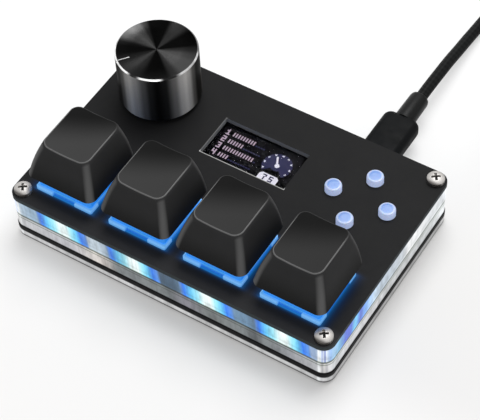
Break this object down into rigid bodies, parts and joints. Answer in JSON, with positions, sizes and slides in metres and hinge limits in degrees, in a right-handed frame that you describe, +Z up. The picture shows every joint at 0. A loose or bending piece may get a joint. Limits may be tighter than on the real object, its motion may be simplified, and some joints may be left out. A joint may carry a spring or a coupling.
{
  "type": "macro keypad with knob",
  "caption": "Small desk keypad: row of sculpted keys, push-and-turn knob, lit display and round buttons on a layered plate-and-clear case, with a coiled USB cable.",
  "frame": {"origin": "on the desk, under the middle of the case", "axes": "+X along the key row to the side of the round buttons, +Y to the back where the cable leaves, +Z up"},
  "size_m": [0.1176, 0.1616, 0.0279],
  "materials": {
    "plate_black": "matte laminate sheet, 1.2 mm",
    "clear_sheet": "clear acrylic sheet with polished cut edges",
    "board_green": "circuit board with solder mask",
    "screw_steel": "bright steel",
    "standoff_brass": "turned brass",
    "foot_rubber": "soft, matte",
    "switch_clear": "translucent, lets the light through",
    "stem_plastic": "smooth moulded",
    "spring_steel": "bright wire",
    "keycap_black": "fine matte texture",
    "led_body": "lit blue",
    "chip_black": "matte moulded",
    "panel_black": "glossy black",
    "screen": "lit picture area",
    "lens_clear": "clear, glossy",
    "foam": "soft foam",
    "ribbon": "amber film",
    "encoder_steel": "plated",
    "bushing_brass": "turned",
    "knob_black": "black anodised, turned",
    "pointer_silver": "bare metal line",
    "grub_steel": "black oxide",
    "button_white": "translucent white, lit blue",
    "tact_black": "moulded",
    "socket_steel": "plated steel",
    "plug_black": "matte moulded",
    "cable_black": "matte sleeve",
    "strap_black": "soft strap",
    "plug_steel": "plated steel"
  },
  "bodies": {
    "case": {"top_plate": "plate_black", "upper_spacer": "clear_sheet", "lower_spacer": "clear_sheet", "circuit_board": "board_green", "bottom_plate": "plate_black", "base_plate": "clear_sheet", "top_screws": "screw_steel", "standoffs": "standoff_brass", "bottom_screws": "screw_steel", "rubber_feet": "foot_rubber", "switch_base_1": "switch_clear", "switch_base_2": "switch_clear", "switch_base_3": "switch_clear", "switch_base_4": "switch_clear", "switch_cover_1": "switch_clear", "switch_cover_2": "switch_clear", "switch_cover_3": "switch_clear", "switch_cover_4": "switch_clear", "key_spring_1": "spring_steel", "key_spring_2": "spring_steel", "key_spring_3": "spring_steel", "key_spring_4": "spring_steel", "leds": "led_body", "board_chips": "chip_black", "display_panel": "panel_black", "display_screen": "screen", "display_lens": "lens_clear", "display_pad": "foam", "display_flex": "ribbon", "encoder_body": "encoder_steel", "encoder_bushing": "bushing_brass", "button_switches": "tact_black", "usb_socket": "socket_steel", "plug_shell": "plug_steel", "plug_body": "plug_black", "plug_boot": "plug_black", "cable": "cable_black", "cable_coil": "cable_black", "cable_tail": "cable_black", "cable_tie": "strap_black", "usb_a_body": "plug_black", "usb_a_shell": "plug_steel"},
    "key_1": {"stem_1": "stem_plastic", "keycap_1": "keycap_black"},
    "key_2": {"stem_2": "stem_plastic", "keycap_2": "keycap_black"},
    "key_3": {"stem_3": "stem_plastic", "keycap_3": "keycap_black"},
    "key_4": {"stem_4": "stem_plastic", "keycap_4": "keycap_black"},
    "small_button_1": {"button_1": "button_white"},
    "small_button_2": {"button_2": "button_white"},
    "small_button_3": {"button_3": "button_white"},
    "small_button_4": {"button_4": "button_white"},
    "knob_push": {"encoder_plunger": "chip_black"},
    "knob_turn": {"encoder_shaft": "encoder_steel", "knob": "knob_black", "knob_pointer": "pointer_silver", "knob_screw": "grub_steel"}
  },
  "joints": [
    {"name": "key_1_press", "type": "slide", "parent": "case", "child": "key_1", "axis": [0, 0, -1], "range_m": [0, 0.0034], "stiffness_N_per_m": 88, "springref_m": -0.0034, "deforming": ["key_spring_1"]},
    {"name": "key_2_press", "type": "slide", "parent": "case", "child": "key_2", "axis": [0, 0, -1], "range_m": [0, 0.0034], "stiffness_N_per_m": 88, "springref_m": -0.0034, "deforming": ["key_spring_2"]},
    {"name": "key_3_press", "type": "slide", "parent": "case", "child": "key_3", "axis": [0, 0, -1], "range_m": [0, 0.0034], "stiffness_N_per_m": 88, "springref_m": -0.0034, "deforming": ["key_spring_3"]},
    {"name": "key_4_press", "type": "slide", "parent": "case", "child": "key_4", "axis": [0, 0, -1], "range_m": [0, 0.0034], "stiffness_N_per_m": 88, "springref_m": -0.0034, "deforming": ["key_spring_4"]},
    {"name": "small_button_1_press", "type": "slide", "parent": "case", "child": "small_button_1", "axis": [0, 0, -1], "range_m": [0, 0.00025], "stiffness_N_per_m": 2500, "springref_m": -0.0003},
    {"name": "small_button_2_press", "type": "slide", "parent": "case", "child": "small_button_2", "axis": [0, 0, -1], "range_m": [0, 0.00025], "stiffness_N_per_m": 2500, "springref_m": -0.0003},
    {"name": "small_button_3_press", "type": "slide", "parent": "case", "child": "small_button_3", "axis": [0, 0, -1], "range_m": [0, 0.00025], "stiffness_N_per_m": 2500, "springref_m": -0.0003},
    {"name": "small_button_4_press", "type": "slide", "parent": "case", "child": "small_button_4", "axis": [0, 0, -1], "range_m": [0, 0.00025], "stiffness_N_per_m": 2500, "springref_m": -0.0003},
    {"name": "knob_press", "type": "slide", "parent": "case", "child": "knob_push", "axis": [0, 0, -1], "range_m": [0, 0.0005], "stiffness_N_per_m": 2500, "springref_m": -0.0004},
    {"name": "knob_spin", "type": "hinge", "parent": "knob_push", "child": "knob_turn", "pos_m": [-0.0277, 0.015, 0], "axis": [0, 0, 1], "continuous": true}
  ]
}
